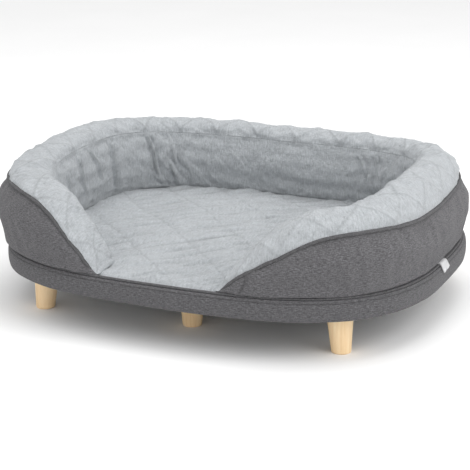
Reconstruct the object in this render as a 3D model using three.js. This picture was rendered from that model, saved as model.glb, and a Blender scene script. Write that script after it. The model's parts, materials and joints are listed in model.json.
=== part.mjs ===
// Dog bed with frame: an oval fabric-covered frame on six tapered wooden legs, and a soft nest
// (quilted pad with a C-shaped bolster sewn round it) that drops into the frame and lifts out.
// Millimetres, +Z up, +X along the length, the low entrance faces -Y.

import * as THREE from 'three';

// ---- driving dimensions --------------------------------------------------------------------

const HALF_LENGTH = 475;         // frame outline, half length
const HALF_DEPTH = 404;          // frame outline, half depth
const OUTLINE_POWER = 2.91;      // superellipse power of the rounded oval
const FRAME_BOTTOM = 85.4;       // underside of the fabric band above the floor
const FRAME_TOP = 133;           // rim of the frame, where the bolster sits
const AROUND = 56;               // steps round a full outline

const BOARD_THICK = 12;
const BOARD_INSET = 4;
const HOOP_THICK = 9;
const PIPING_RADIUS = 2.4;
const WELT_RADIUS = 3.2;

const LEG_TOP_RADIUS = 27.5;
const LEG_FOOT_RADIUS = 20;
const LEG_HEIGHT = 83.6;
const LEG_BORE_RADIUS = 4.4;
const LEG_BORE_DEPTH = 34;
const LEG_SPLAY_X = 0.065;       // outward lean of the corner legs, mm per mm of height
const LEG_SPLAY_Y = 0.03;
const CORNER_LEG_X = 333;
const CORNER_LEG_Y = 270;
const CENTRE_LEG_Y = 247;

const TIP_X = 130;               // the bolster arms end at this distance either side of centre
const CLOTH_GAP = 0.4;
const COVER_THICK = 2.5;
const BOLSTER_SHIFT_X = -7;      // the soft bolster sits a little to the left on the frame
const BOLSTER_FOOT_OUT = 12;     // bottom edges of the bolster, measured inward from the outline
const BOLSTER_FOOT_IN = 94;
const WELT_INSET = 15;
const RIDGE_INSET = 66;
const SEAM_INSET = 105;
const OUTER_BULGE = 23;
const INNER_BULGE = 12;
const PAD_INSET = 15.3;
const PAD_CROWN = 12;
const TAG_Y = -55;               // the ribbon tag's place on the right end
const TAG_LENGTH = 40;

// Height above the frame rim, as [distance from the arm tip, height]
const WELT_HEIGHTS = [[0, 6], [10, 9], [71, 52], [122, 89], [174, 116], [231, 126], [297, 128],
  [600, 127], [1100, 124], [1500, 124]];
const RIDGE_HEIGHTS = [[0, 10], [8, 26], [20, 44], [50, 74], [113, 122], [174, 146], [231, 155],
  [297, 159], [400, 168], [500, 176], [600, 179], [720, 177], [850, 171], [960, 166],
  [1100, 161], [1500, 158]];

// ---- colours -------------------------------------------------------------------------------

function surface(colour, roughness, metalness) {
  return new THREE.MeshStandardMaterial({ color: colour, roughness, metalness });
}

const darkCloth = surface(0x5f5e60, 0.95, 0);
const darkWelt = surface(0x4c4b4d, 0.95, 0);
const plush = surface(0xb9bdc0, 1, 0);
const blackCloth = surface(0x2a2a2c, 0.95, 0);
const foam = surface(0xe8e2cf, 1, 0);
const fibre = surface(0xf2f2ee, 1, 0);
const plywood = surface(0xc9a878, 0.8, 0);
const beech = surface(0xe2bf8c, 0.6, 0);
const steel = surface(0xa9adb2, 0.4, 1);
const ribbon = surface(0xc9cacb, 0.8, 0);

const group = new THREE.Group();

function add(name, geometry, material) {
  geometry.computeVertexNormals();
  const mesh = new THREE.Mesh(geometry, material);
  mesh.name = name;
  group.add(mesh);
}

// ---- outline -------------------------------------------------------------------------------

function outlinePoint(theta, scale) {
  const c = Math.cos(theta);
  const s = Math.sin(theta);
  const x = HALF_LENGTH * scale * Math.sign(c) * Math.abs(c) ** (2 / OUTLINE_POWER);
  const y = HALF_DEPTH * scale * Math.sign(s) * Math.abs(s) ** (2 / OUTLINE_POWER);
  const gx = Math.sign(x) * Math.abs(x / HALF_LENGTH) ** (OUTLINE_POWER - 1) / HALF_LENGTH;
  const gy = Math.sign(y) * Math.abs(y / HALF_DEPTH) ** (OUTLINE_POWER - 1) / HALF_DEPTH;
  const g = Math.hypot(gx, gy);
  return { x, y, nx: gx / g, ny: gy / g };
}

// Arc length table, starting at the middle of the front and running towards +X
const FINE = 6000;
const arc = [0];
for (let i = 1; i <= FINE; i += 1) {
  const a = outlinePoint(-Math.PI / 2 + (2 * Math.PI * (i - 1)) / FINE, 1);
  const b = outlinePoint(-Math.PI / 2 + (2 * Math.PI * i) / FINE, 1);
  arc.push(arc[i - 1] + Math.hypot(b.x - a.x, b.y - a.y));
}
const PERIMETER = arc[FINE];

function outlineAt(distance) {
  const wanted = ((distance % PERIMETER) + PERIMETER) % PERIMETER;
  let low = 0;
  let high = FINE;
  while (high - low > 1) {
    const mid = (low + high) >> 1;
    if (arc[mid] <= wanted) low = mid;
    else high = mid;
  }
  const part = (wanted - arc[low]) / (arc[high] - arc[low]);
  return outlinePoint(-Math.PI / 2 + (2 * Math.PI * (low + part)) / FINE, 1);
}

function loopStations(count) {
  const stations = [];
  for (let i = 0; i < count; i += 1) stations.push(outlineAt((PERIMETER * i) / count));
  return stations;
}

// ---- solids --------------------------------------------------------------------------------

// Joins a run of equal rings into one closed body; the ends are capped, or joined when looped
function ringBody(rings, looped, capContour) {
  const width = rings[0].length;
  const positions = [];
  rings.forEach((ring) => ring.forEach((p) => positions.push(p[0], p[1], p[2])));
  const index = [];
  const last = looped ? rings.length : rings.length - 1;
  for (let i = 0; i < last; i += 1) {
    const n = (i + 1) % rings.length;
    for (let j = 0; j < width; j += 1) {
      const k = (j + 1) % width;
      index.push(i * width + j, i * width + k, n * width + k);
      index.push(i * width + j, n * width + k, n * width + j);
    }
  }
  if (!looped) {
    capFaces(capContour[0]).forEach(([a, b, c]) => index.push(a, c, b));
    const base = (rings.length - 1) * width;
    capFaces(capContour[1]).forEach(([a, b, c]) => index.push(base + a, base + b, base + c));
  }
  return faceOutward(positions, index);
}

// Triangles of a flat contour, all wound the same way as the contour
function capFaces(contour) {
  const points = contour.map((p) => new THREE.Vector2(p[0], p[1]));
  const sign = Math.sign(THREE.ShapeUtils.area(points));
  return THREE.ShapeUtils.triangulateShape(points, []).map(([a, b, c]) => {
    const area = THREE.ShapeUtils.area([points[a], points[b], points[c]]);
    return Math.sign(area) === sign ? [a, b, c] : [a, c, b];
  });
}

function faceOutward(positions, index) {
  let volume = 0;
  for (let i = 0; i < index.length; i += 3) {
    const [a, b, c] = [index[i] * 3, index[i + 1] * 3, index[i + 2] * 3];
    const [ax, ay, az] = positions.slice(a, a + 3);
    const [bx, by, bz] = positions.slice(b, b + 3);
    const [cx, cy, cz] = positions.slice(c, c + 3);
    volume += ax * (by * cz - bz * cy) + ay * (bz * cx - bx * cz) + az * (bx * cy - by * cx);
  }
  const faces = volume > 0 ? index : index.map((v, i) => index[i - (i % 3) + ((3 - (i % 3)) % 3)]);
  const geometry = new THREE.BufferGeometry();
  geometry.setAttribute('position', new THREE.Float32BufferAttribute(positions, 3));
  geometry.setIndex(faces);
  return geometry;
}

// A closed [inset, height] profile carried once round the outline
function hoopBody(profile, count) {
  const rings = loopStations(count).map((p) => profile.map(([s, z]) => place(p, s, z)));
  return ringBody(rings, true);
}

function place(p, inset, z) {
  return [p.x - p.nx * inset, p.y - p.ny * inset, z];
}

// A flat oval sheet or board, with round holes
function ovalPlate(inset, bottom, top, holes, holeRadius) {
  const edge = loopStations(AROUND).map((p) => {
    const [x, y] = place(p, inset, 0);
    return new THREE.Vector2(x, y);
  });
  const shape = new THREE.Shape(edge);
  holes.forEach(([x, y]) => {
    const ring = [];
    for (let i = 0; i < 20; i += 1) {
      const a = (-2 * Math.PI * i) / 20;
      ring.push(new THREE.Vector2(x + holeRadius * Math.cos(a), y + holeRadius * Math.sin(a)));
    }
    shape.holes.push(new THREE.Path(ring));
  });
  const geometry = new THREE.ExtrudeGeometry(shape, { depth: top - bottom, bevelEnabled: false });
  geometry.translate(0, 0, bottom);
  return geometry;
}

// A turned solid from [radius, height] points; the run starts and ends on the axis or closes
function turned(profile, segments, centre, leanX, leanY, topZ) {
  const positions = [];
  const rows = profile.map(([r, z]) => {
    const start = positions.length / 3;
    const count = r === 0 ? 1 : segments;
    for (let i = 0; i < count; i += 1) {
      const a = (2 * Math.PI * i) / segments;
      const x = centre[0] + leanX * (topZ - z) + r * Math.cos(a);
      const y = centre[1] + leanY * (topZ - z) + r * Math.sin(a);
      positions.push(x, y, z);
    }
    return { start, count };
  });
  const index = [];
  const onAxis = profile[0][0] === 0;
  const steps = onAxis ? rows.length - 1 : rows.length;
  for (let i = 0; i < steps; i += 1) {
    const a = rows[i];
    const b = rows[(i + 1) % rows.length];
    for (let j = 0; j < segments; j += 1) {
      const k = (j + 1) % segments;
      if (b.count > 1) index.push(a.start + (a.count > 1 ? j : 0), b.start + j, b.start + k);
      if (a.count > 1) index.push(a.start + j, b.start + (b.count > 1 ? k : 0), a.start + k);
    }
  }
  return faceOutward(positions, index);
}

// A soft oval slab with a flat bottom; topAt gives its height at a share of the outline
function ovalSlab(inset, shares, topAt, bottom) {
  const count = AROUND;
  const edge = loopStations(count).map((p) => place(p, inset, 0));
  const rows = [];
  [0, 1].forEach((share) => rows.push({ share, z: bottom }));
  [...shares].reverse().forEach((share) => rows.push({ share, z: topAt(share) }));
  const positions = [];
  const starts = rows.map(({ share, z }) => {
    const start = positions.length / 3;
    if (share === 0) positions.push(0, 0, z);
    else edge.forEach(([x, y]) => positions.push(x * share, y * share, z));
    return start;
  });
  const index = [];
  for (let i = 0; i < rows.length - 1; i += 1) {
    const [a, b] = [starts[i], starts[i + 1]];
    for (let j = 0; j < count; j += 1) {
      const k = (j + 1) % count;
      if (rows[i].share === 0) index.push(a, b + j, b + k);
      else if (rows[i + 1].share === 0) index.push(a + j, b, a + k);
      else index.push(a + j, b + j, b + k, a + j, b + k, a + k);
    }
  }
  return faceOutward(positions, index);
}

// ---- frame ---------------------------------------------------------------------------------

const LEGS = [
  ['front_left', -CORNER_LEG_X, -CORNER_LEG_Y, -1, -1],
  ['front_centre', 0, -CENTRE_LEG_Y, 0, 0],
  ['front_right', CORNER_LEG_X, -CORNER_LEG_Y, 1, -1],
  ['back_left', -CORNER_LEG_X, CORNER_LEG_Y, -1, 1],
  ['back_centre', 0, CENTRE_LEG_Y, 0, 0],
  ['back_right', CORNER_LEG_X, CORNER_LEG_Y, 1, 1],
];
const BOARD_BOTTOM = FRAME_BOTTOM + 1.4;
const BOARD_TOP = BOARD_BOTTOM + BOARD_THICK;

// Where each leg meets the frame: its foot is given, its head sits inward by the lean
function legHeads() {
  return LEGS.map(([, x, y, sx, sy]) => [
    x - sx * LEG_SPLAY_X * LEG_HEIGHT,
    y - sy * LEG_SPLAY_Y * LEG_HEIGHT,
  ]);
}

function buildFrame() {
  const heads = legHeads();
  add('deck_board', ovalPlate(BOARD_INSET, BOARD_BOTTOM, BOARD_TOP, heads, 8), plywood);
  add('tray_liner', ovalPlate(15, BOARD_TOP + 0.3, BOARD_TOP + 1.3, [], 0), blackCloth);
  add('dust_cover', ovalPlate(10, FRAME_BOTTOM - 1.2, FRAME_BOTTOM - 0.4, heads, 30), blackCloth);
  const hoopBottom = BOARD_TOP + 0.3;
  const hoopTop = FRAME_TOP - 8.6;
  const inner = BOARD_INSET + HOOP_THICK;
  const hoop = [[BOARD_INSET, hoopBottom], [BOARD_INSET, hoopTop - 10], [BOARD_INSET + 4.8, hoopTop],
    [inner, hoopTop], [inner, hoopBottom]];
  add('rim_hoop', hoopBody(hoop, AROUND), plywood);
  add('frame_band_cover', hoopBody(bandProfile(), AROUND), darkCloth);
  const piping = roundProfile(8.8, FRAME_TOP - 2.4, PIPING_RADIUS, 8);
  add('frame_piping', hoopBody(piping, AROUND), darkWelt);
}

// The cloth band: under the board edge, up the slightly full outer face, round the soft shoulder,
// over the hoop with a channel for the piping, and down inside the rim
function bandProfile() {
  const b = FRAME_BOTTOM;
  const t = FRAME_TOP;
  return [
    [22, b], [3, b], [0.6, b + 2.5], [-0.9, b + 10], [-1.4, b + 20], [-0.9, t - 19], [0.8, t - 12],
    [3.2, t - 7], [5.4, t - 4.2], [6, t - 5.2], [11.6, t - 5.2], [12, t - 0.6], [13.6, t - 0.5],
    [14.6, t - 1.6], [14.6, BOARD_TOP + 2], [13.3, BOARD_TOP + 2], [13.3, t - 6.5],
    [6.6, t - 6.5], [4.4, t - 8.6], [2.6, t - 13.2], [2.2, b + 26], [3.3, b + 1], [22, b + 1],
  ];
}

function roundProfile(inset, height, radius, sides) {
  const points = [];
  for (let i = 0; i < sides; i += 1) {
    const a = (2 * Math.PI * (i + 0.5)) / sides;
    points.push([inset + radius * Math.cos(a), height + radius * Math.sin(a)]);
  }
  return points;
}

function buildLegs() {
  const heads = legHeads();
  const h = LEG_HEIGHT;
  const bore = LEG_BORE_RADIUS;
  LEGS.forEach(([name, , , sx, sy], i) => {
    const lean = [sx * LEG_SPLAY_X, sy * LEG_SPLAY_Y];
    const leg = [[0, 0], [LEG_FOOT_RADIUS - 1.2, 0], [LEG_FOOT_RADIUS, 1.2],
      [LEG_TOP_RADIUS, h - 1.2], [LEG_TOP_RADIUS - 1.2, h], [bore, h],
      [bore, h - LEG_BORE_DEPTH], [0, h - LEG_BORE_DEPTH]];
    add(`leg_${name}`, turned(leg, 24, heads[i], lean[0], lean[1], h), beech);
    const plateBottom = h + 0.4;
    const plateTop = BOARD_BOTTOM - 0.3;
    const plate = [[4.9, plateBottom], [28, plateBottom], [28, plateTop], [7.2, plateTop],
      [7.2, BOARD_TOP - 2], [4.9, BOARD_TOP - 2]];
    add(`leg_plate_${name}`, turned(plate, 18, heads[i], 0, 0, h), steel);
    const tail = h - LEG_BORE_DEPTH + 1;
    const bolt = [[0, tail], [2.6, tail], [4, tail + 2], [4, BOARD_TOP - 2.6],
      [3.2, BOARD_TOP - 1.6], [0, BOARD_TOP - 1.6]];
    add(`leg_bolt_${name}`, turned(bolt, 14, heads[i], lean[0], lean[1], h), steel);
  });
}

// ---- nest: pad -----------------------------------------------------------------------------

// Rise of the pad's quilted top towards its middle; the rim under the bolster is level
function crown(share) {
  return PAD_CROWN * (1 - Math.min(1, share / 0.74) ** 2);
}

function buildPad() {
  const clothBottom = BOARD_TOP + 1.7;
  const foamTop = FRAME_TOP - 18;
  const quiltTop = (share) => FRAME_TOP - 0.3 + crown(share);
  add('pad_base_cloth', slab(PAD_INSET, clothBottom, clothBottom + 0.9), blackCloth);
  add('pad_foam', slab(PAD_INSET + 1, clothBottom + 1.2, foamTop), foam);
  const shares = [0, 0.2, 0.4, 0.58, 0.74, 1];
  add('pad_quilted_top', ovalSlab(PAD_INSET, shares, quiltTop, foamTop + 0.3), plush);
}

function slab(inset, bottom, top) {
  return ovalSlab(inset, [0, 1], () => top, bottom);
}

// ---- nest: bolster -------------------------------------------------------------------------

function tableValue(table, d) {
  let i = 0;
  while (i < table.length - 2 && d > table[i + 1][0]) i += 1;
  const slope = (k) => {
    if (k <= 0) return (table[1][1] - table[0][1]) / (table[1][0] - table[0][0]);
    if (k >= table.length - 1) return 0;
    return (table[k + 1][1] - table[k - 1][1]) / (table[k + 1][0] - table[k - 1][0]);
  };
  const [x0, y0] = table[i];
  const [x1, y1] = table[i + 1];
  const w = x1 - x0;
  const t = Math.min(1, Math.max(0, (d - x0) / w));
  const a = y0 * (1 + 2 * t) * (1 - t) ** 2 + slope(i) * w * t * (1 - t) ** 2;
  const b = y1 * t * t * (3 - 2 * t) + slope(i + 1) * w * t * t * (t - 1);
  return a + b;
}

// The bolster's section at one place: three runs of [inset, height] points
function sectionAt(tipDistance) {
  const welt = tableValue(WELT_HEIGHTS, tipDistance);
  const ridge = tableValue(RIDGE_HEIGHTS, tipDistance);
  const full = Math.min(1, ridge / 150);
  const foot = 1.9;
  const weltInset = BOLSTER_FOOT_OUT + (WELT_INSET - BOLSTER_FOOT_OUT) * full;
  const ridgeInset = 56 + (RIDGE_INSET - 56) * full;
  const seamInset = 88 + (SEAM_INSET - 88) * full;
  const seam = ridge - 27 * full;
  const outer = [];
  for (let i = 0; i <= 6; i += 1) {
    const v = i / 6;
    const bulge = OUTER_BULGE * Math.min(1, welt / 128) * Math.sin(Math.PI * v ** 0.9);
    outer.push([BOLSTER_FOOT_OUT + (weltInset - BOLSTER_FOOT_OUT) * v - bulge,
      foot + (welt - foot) * v]);
  }
  const top = [];
  for (let i = 0; i <= 4; i += 1) {
    const a = (Math.PI / 2) * (i / 4);
    top.push([weltInset + (ridgeInset - weltInset) * (1 - Math.cos(a)),
      welt + (ridge - welt) * Math.sin(a)]);
  }
  for (let i = 1; i <= 3; i += 1) {
    const a = (Math.PI / 2) * (i / 3.3);
    top.push([ridgeInset + (seamInset - ridgeInset) * Math.sin(a) / Math.sin(Math.PI / 2.2),
      ridge - (ridge - seam) * (1 - Math.cos(a)) / (1 - Math.cos(Math.PI / 2.2))]);
  }
  const inner = [];
  for (let i = 0; i <= 5; i += 1) {
    const v = i / 5;
    const bulge = INNER_BULGE * full * Math.sin(Math.PI * v);
    inner.push([seamInset + (BOLSTER_FOOT_IN - 4 * (1 - full) - seamInset) * v + bulge,
      seam + (foot - seam) * v]);
  }
  const whole = [...outer, ...top.slice(1), ...inner.slice(1)];
  const weltAt = outer.length - 1;
  return { whole, weltAt, seamAt: weltAt + top.length - 1, welt, ridge };
}

// Moves a run of points towards the inside of the section, with mitred corners
function offsetRun(run, depth) {
  const side = (a, b) => {
    const length = Math.hypot(b[0] - a[0], b[1] - a[1]);
    return [(b[1] - a[1]) / length, (a[0] - b[0]) / length];
  };
  return run.map((p, i) => {
    const before = side(run[Math.max(0, i - 1)], run[Math.max(1, i)]);
    const after = side(run[Math.min(i, run.length - 2)], run[Math.min(i + 1, run.length - 1)]);
    const sum = [before[0] + after[0], before[1] + after[1]];
    const share = (2 * depth) / Math.max(1.2, sum[0] ** 2 + sum[1] ** 2);
    return [p[0] + sum[0] * share, p[1] + sum[1] * share];
  });
}

function keepAbove(run, height) {
  return run.map(([s, z]) => [s, Math.max(z, height)]);
}

const TIP_STEPS = [0, 5, 12, 22, 36, 55, 80, 110, 145, 185];
const TIP_START = tipStart();

function tipStart() {
  let d = TIP_X;
  while (outlineAt(d).x < TIP_X) d += 0.05;
  return d;
}

function bolsterStations() {
  const length = PERIMETER - 2 * TIP_START;
  const last = TIP_STEPS[TIP_STEPS.length - 1];
  const between = Math.round((length - 2 * last) / 68);
  const distances = [...TIP_STEPS];
  for (let i = 1; i < between; i += 1) distances.push(last + ((length - 2 * last) * i) / between);
  [...TIP_STEPS].reverse().forEach((d) => distances.push(length - d));
  return distances.map((d) => {
    const fromTip = Math.min(d, length - d);
    return { p: outlineAt(TIP_START + d), fromTip, section: sectionAt(fromTip) };
  });
}

const STATIONS = bolsterStations();

// A point of the bolster, at a place on the frame's outline
function placeBolster(p, inset, height) {
  const [x, y, z] = place(p, inset, FRAME_TOP + height);
  return [x + BOLSTER_SHIFT_X, y, z];
}

// A cloth skin over one part of the section, carried along the whole C
function skinBody(from, to) {
  const contours = STATIONS.map(({ section }) => {
    const [i, j] = [from(section), to(section) + 1];
    const thick = COVER_THICK * Math.min(1, section.ridge / 40);
    const outside = trimRun(section.whole.slice(i, j), 0.3);
    const inside = trimRun(offsetRun(section.whole, thick).slice(i, j), 0.3);
    return [...keepAbove(outside, 1.9), ...keepAbove(inside, 1.9).reverse()];
  });
  const rings = contours.map((c, i) => c.map(([s, z]) => placeBolster(STATIONS[i].p, s, z)));
  return ringBody(rings, false, [contours[0], contours[contours.length - 1]]);
}

// Leaves a small gap at each end of a run
function trimRun(run, gap) {
  const out = run.map((p) => [...p]);
  const pull = (i, j) => {
    const length = Math.hypot(out[j][0] - out[i][0], out[j][1] - out[i][1]);
    const share = Math.min(0.4, gap / length);
    out[i] = [out[i][0] + (out[j][0] - out[i][0]) * share,
      out[i][1] + (out[j][1] - out[i][1]) * share];
  };
  pull(0, 1);
  pull(out.length - 1, out.length - 2);
  return out;
}

function buildBolster() {
  const start = () => 0;
  const welt = (section) => section.weltAt;
  const seam = (section) => section.seamAt;
  const end = (section) => section.whole.length - 1;
  add('bolster_outer_cover', skinBody(start, welt), darkCloth);
  add('bolster_top_cover', skinBody(welt, seam), plush);
  add('bolster_inner_cover', skinBody(seam, end), plush);
  add('bolster_filling', fillingBody(), fibre);
  add('bolster_base_cloth', baseClothBody(), blackCloth);
  add('bolster_piping', weltBody(), darkWelt);
}

function fillingBody() {
  const used = STATIONS.filter(({ section }) => section.ridge > 34);
  const depth = COVER_THICK + CLOTH_GAP;
  const contours = used.map(({ section }) => {
    const run = keepAbove(offsetRun(section.whole, depth), 1.9);
    return run.reverse();
  });
  const rings = contours.map((c, i) => c.map(([s, z]) => placeBolster(used[i].p, s, z)));
  return ringBody(rings, false, [contours[0], contours[contours.length - 1]]);
}

function baseClothBody() {
  const contour = [[14, 0.5], [14, 1.5], [86, 1.5], [86, 0.5]];
  const rings = STATIONS.map(({ p }) => contour.map(([s, z]) => placeBolster(p, s, z)));
  return ringBody(rings, false, [contour, contour]);
}

function weltBody() {
  const contours = STATIONS.map(({ section }) => {
    const a = section.whole[section.weltAt - 1];
    const m = section.whole[section.weltAt];
    const b = section.whole[section.weltAt + 1];
    const length = Math.hypot(b[0] - a[0], b[1] - a[1]);
    const reach = WELT_RADIUS + 0.75;
    const s = m[0] - ((b[1] - a[1]) / length) * reach;
    const z = m[1] + ((b[0] - a[0]) / length) * reach;
    return roundProfile(s, z, WELT_RADIUS, 8);
  });
  const rings = contours.map((c, i) => c.map(([s, z]) => placeBolster(STATIONS[i].p, s, z)));
  return ringBody(rings, false, [contours[0], contours[contours.length - 1]]);
}

// A blank folded ribbon sewn under the bolster's lower edge at the right end
function buildTag() {
  let d = TIP_START;
  while (outlineAt(d).x < HALF_LENGTH * 0.9 || outlineAt(d).y < TAG_Y) d += 0.5;
  const p = outlineAt(d);
  const contour = [[20.5, 0.6], [6.4, 0.6], [4.6, -1.6], [2.2, -5.6], [-0.2, -10.4], [-1.6, -14.5],
    [-2.7, -14.2], [-1.3, -9.9], [1.2, -5], [3.8, -0.7], [6, 1.6], [20.5, 1.6]];
  const rings = [-TAG_LENGTH / 2, TAG_LENGTH / 2].map((w) => contour.map(([s, z]) => [
    p.x - p.nx * s - p.ny * w, p.y - p.ny * s + p.nx * w, FRAME_TOP + z]));
  add('side_tag', ringBody(rings, false, [contour, contour]), ribbon);
}

// ---- build ---------------------------------------------------------------------------------

// Puts the middle of the whole bed's box over the origin
function centreOnOrigin() {
  const box = new THREE.Box3().setFromObject(group);
  const dx = -(box.min.x + box.max.x) / 2;
  const dy = -(box.min.y + box.max.y) / 2;
  group.children.forEach((mesh) => mesh.geometry.translate(dx, dy, 0));
}

buildFrame();
buildLegs();
buildPad();
buildBolster();
buildTag();
centreOnOrigin();

export default group;
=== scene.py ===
"""Dog bed with frame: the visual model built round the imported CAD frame, in metres."""

import json
import math

import bmesh  # noqa: E402
import bpy  # noqa: E402
import numpy as np  # noqa: E402
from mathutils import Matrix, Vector  # noqa: E402


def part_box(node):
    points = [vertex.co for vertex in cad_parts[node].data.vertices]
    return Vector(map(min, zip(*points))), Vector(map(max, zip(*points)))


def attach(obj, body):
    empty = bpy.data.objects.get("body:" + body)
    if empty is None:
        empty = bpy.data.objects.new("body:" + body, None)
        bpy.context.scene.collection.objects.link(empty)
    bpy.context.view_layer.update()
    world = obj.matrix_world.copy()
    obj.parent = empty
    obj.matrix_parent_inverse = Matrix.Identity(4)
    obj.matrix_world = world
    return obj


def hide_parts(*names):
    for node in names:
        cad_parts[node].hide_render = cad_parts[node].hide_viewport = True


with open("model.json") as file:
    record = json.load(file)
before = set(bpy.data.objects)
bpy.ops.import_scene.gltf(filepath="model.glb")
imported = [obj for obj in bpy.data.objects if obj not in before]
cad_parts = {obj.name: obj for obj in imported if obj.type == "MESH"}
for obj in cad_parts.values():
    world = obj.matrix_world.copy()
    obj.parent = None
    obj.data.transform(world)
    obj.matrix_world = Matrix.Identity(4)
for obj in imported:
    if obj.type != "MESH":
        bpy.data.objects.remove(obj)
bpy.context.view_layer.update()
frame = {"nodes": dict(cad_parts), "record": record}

# ---- sizes, metres ---------------------------------------------------------------------------

HALF_LENGTH = 0.475
HALF_DEPTH = 0.404
POWER = 2.91
BAND_BOTTOM = 0.0854
TOP = 0.133                 # rim of the frame, where the bolster sits
BOARD_TOP = 0.0988
TIP_X = 0.130
SHIFT_X = -0.007            # the bolster sits a little to the left on the frame
FOOT_OUT = 0.012
FOOT_IN = 0.094
WELT_INSET = 0.015
RIDGE_INSET = 0.066
SEAM_INSET = 0.105
RIDGE_INSET_AT_TIP = 0.056  # the section narrows as an arm comes down to its tip
SEAM_INSET_AT_TIP = 0.088
FOOT_IN_LESS_AT_TIP = 0.004
SEAM_DROP = 0.027           # from the ridge down to the seam of the inner wall
FULL_RIDGE = 0.150          # ridge and welt heights from which the section is at its full width
FULL_WELT = 0.128
OUTER_BULGE = 0.023
INNER_BULGE = 0.012
PAD_INSET = 0.0155
PAD_CROWN = 0.012
QUILT_A = 0.0745            # spacing of the pad's two families of quilting lines
QUILT_B = 0.1125
BOLSTER_QUILT = 0.074
CLOTH_THICK = 0.0016
QUILT_DEPTH_TOP = 0.0029
QUILT_DEPTH_PAD = 0.0024
QUILT_ROUND = 0.008         # distance from the stitching over which the quilting swells
QUILT_MEAN = 0.80           # its mean swell, taken off so that quilting adds no height
WELT_RADIUS = 0.0042
WELT_OUT = 0.0022           # the cord's centre stands this far off the seam
WELT_MARGIN = 0.0008        # the cord stops this far inside both ends
BOLSTER_STEP = 0.0050       # spacing of the stations along the smooth and the quilted cloth
PLUSH_STEP = 0.0036
BASE_STEP = 0.0100
PAD_GRID = (300, 256)
BAND_STATIONS = 520
WELT_SIDES = 14
PIPING_SIDES = 12

# Height of the seam and of the ridge above the rim by distance from an arm's tip, millimetres
WELT_RIGHT = [(0, 4), (10, 7.5), (22, 17), (44, 34), (84, 56), (123, 76), (162, 96),
              (201, 111), (242, 118.4), (285, 120.8), (332, 120.3), (390, 118), (466, 115),
              (560, 115), (700, 118), (1100, 123), (1500, 124)]
WELT_LEFT = [(0, 4), (10, 8), (23, 18), (48, 41), (73, 62), (100, 84), (128, 105), (158, 121),
             (200, 131), (260, 136), (330, 138), (450, 135), (700, 128), (1100, 124), (1500, 124)]
RIDGE_HEIGHTS = [(0, 10), (8, 26), (20, 44), (50, 74), (113, 122), (174, 146), (231, 155),
                 (297, 159), (400, 168), (500, 176), (600, 179), (720, 177), (850, 171),
                 (960, 166), (1100, 161), (1500, 158)]

# The band's outer face: [height above its bottom edge, inset from the outline]
BAND_FACE = [(2.5, 0.6), (10, -0.9), (20, -1.4), (28.6, -0.9), (35.6, 0.8), (40.6, 3.2),
             (43.4, 5.4)]

# Folds in the gathered inner cloth, in metres and shares of its height from the seam down:
# distance along the bolster, drift by the foot, where it starts and ends, depth
FOLDS = [(2.200, -0.040, 0.20, 0.90, 0.004), (2.130, -0.060, 0.05, 0.70, 0.005),
         (2.070, -0.103, 0.03, 0.65, 0.005), (1.972, -0.050, 0.02, 0.97, 0.007),
         (1.783, -0.067, 0.02, 0.78, 0.007), (1.684, -0.030, 0.18, 0.58, 0.005),
         (1.747, -0.108, 0.48, 0.84, 0.005), (1.420, -0.020, 0.60, 0.95, 0.002),
         (1.152, -0.070, 0.08, 0.52, 0.004), (1.130, -0.049, 0.38, 0.92, 0.005),
         (1.089, -0.046, 0.04, 0.48, 0.004), (0.930, 0.050, 0.10, 0.80, 0.004),
         (0.840, 0.060, 0.05, 0.70, 0.004), (0.740, 0.050, 0.20, 0.90, 0.003)]



def box_middle(name):
    """The middle of a CAD node's box, seen from above."""
    low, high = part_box(name)
    return (low.x + high.x) / 2, (low.y + high.y) / 2


MID_X, MID_Y = box_middle("frame_piping")


# ---- numbers ---------------------------------------------------------------------------------

def smooth(t):
    c = np.clip(t, 0, 1)
    return c * c * (3 - 2 * c)


def waves(points, size, seed, count=12):
    """Soft, repeatable noise of about -1 to 1: sines of about one size in random directions."""
    rng = np.random.default_rng(seed)
    total = np.zeros(points.shape[:-1])
    for _ in range(count):
        direction = rng.normal(size=points.shape[-1])
        direction /= np.linalg.norm(direction)
        rate = 2 * math.pi / size * rng.uniform(0.6, 1.5)
        total += np.sin(points @ direction * rate + rng.uniform(0, 2 * math.pi))
    return total / math.sqrt(count)


def curve_value(table, d):
    """Smooth curve through the [distance, height] points of a table, all in metres."""
    x = np.array([p[0] for p in table]) / 1000
    y = np.array([p[1] for p in table]) / 1000
    m = np.empty_like(y)
    m[1:-1] = (y[2:] - y[:-2]) / (x[2:] - x[:-2])
    m[0] = (y[1] - y[0]) / (x[1] - x[0])
    m[-1] = 0
    d = np.clip(d, x[0], x[-1])
    i = np.clip(np.searchsorted(x, d, side="right") - 1, 0, len(x) - 2)
    w = x[i + 1] - x[i]
    t = (d - x[i]) / w
    a = y[i] * (1 + 2 * t) * (1 - t) ** 2 + m[i] * w * t * (1 - t) ** 2
    return a + y[i + 1] * t * t * (3 - 2 * t) + m[i + 1] * w * t * t * (t - 1)


def outline_points(theta):
    """Points and outward normals of the frame's outline, a superellipse."""
    c, s = np.cos(theta), np.sin(theta)
    x = HALF_LENGTH * np.sign(c) * np.abs(c) ** (2 / POWER)
    y = HALF_DEPTH * np.sign(s) * np.abs(s) ** (2 / POWER)
    gx = np.sign(x) * np.abs(x / HALF_LENGTH) ** (POWER - 1) / HALF_LENGTH
    gy = np.sign(y) * np.abs(y / HALF_DEPTH) ** (POWER - 1) / HALF_DEPTH
    g = np.hypot(gx, gy)
    return x, y, gx / g, gy / g


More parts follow.
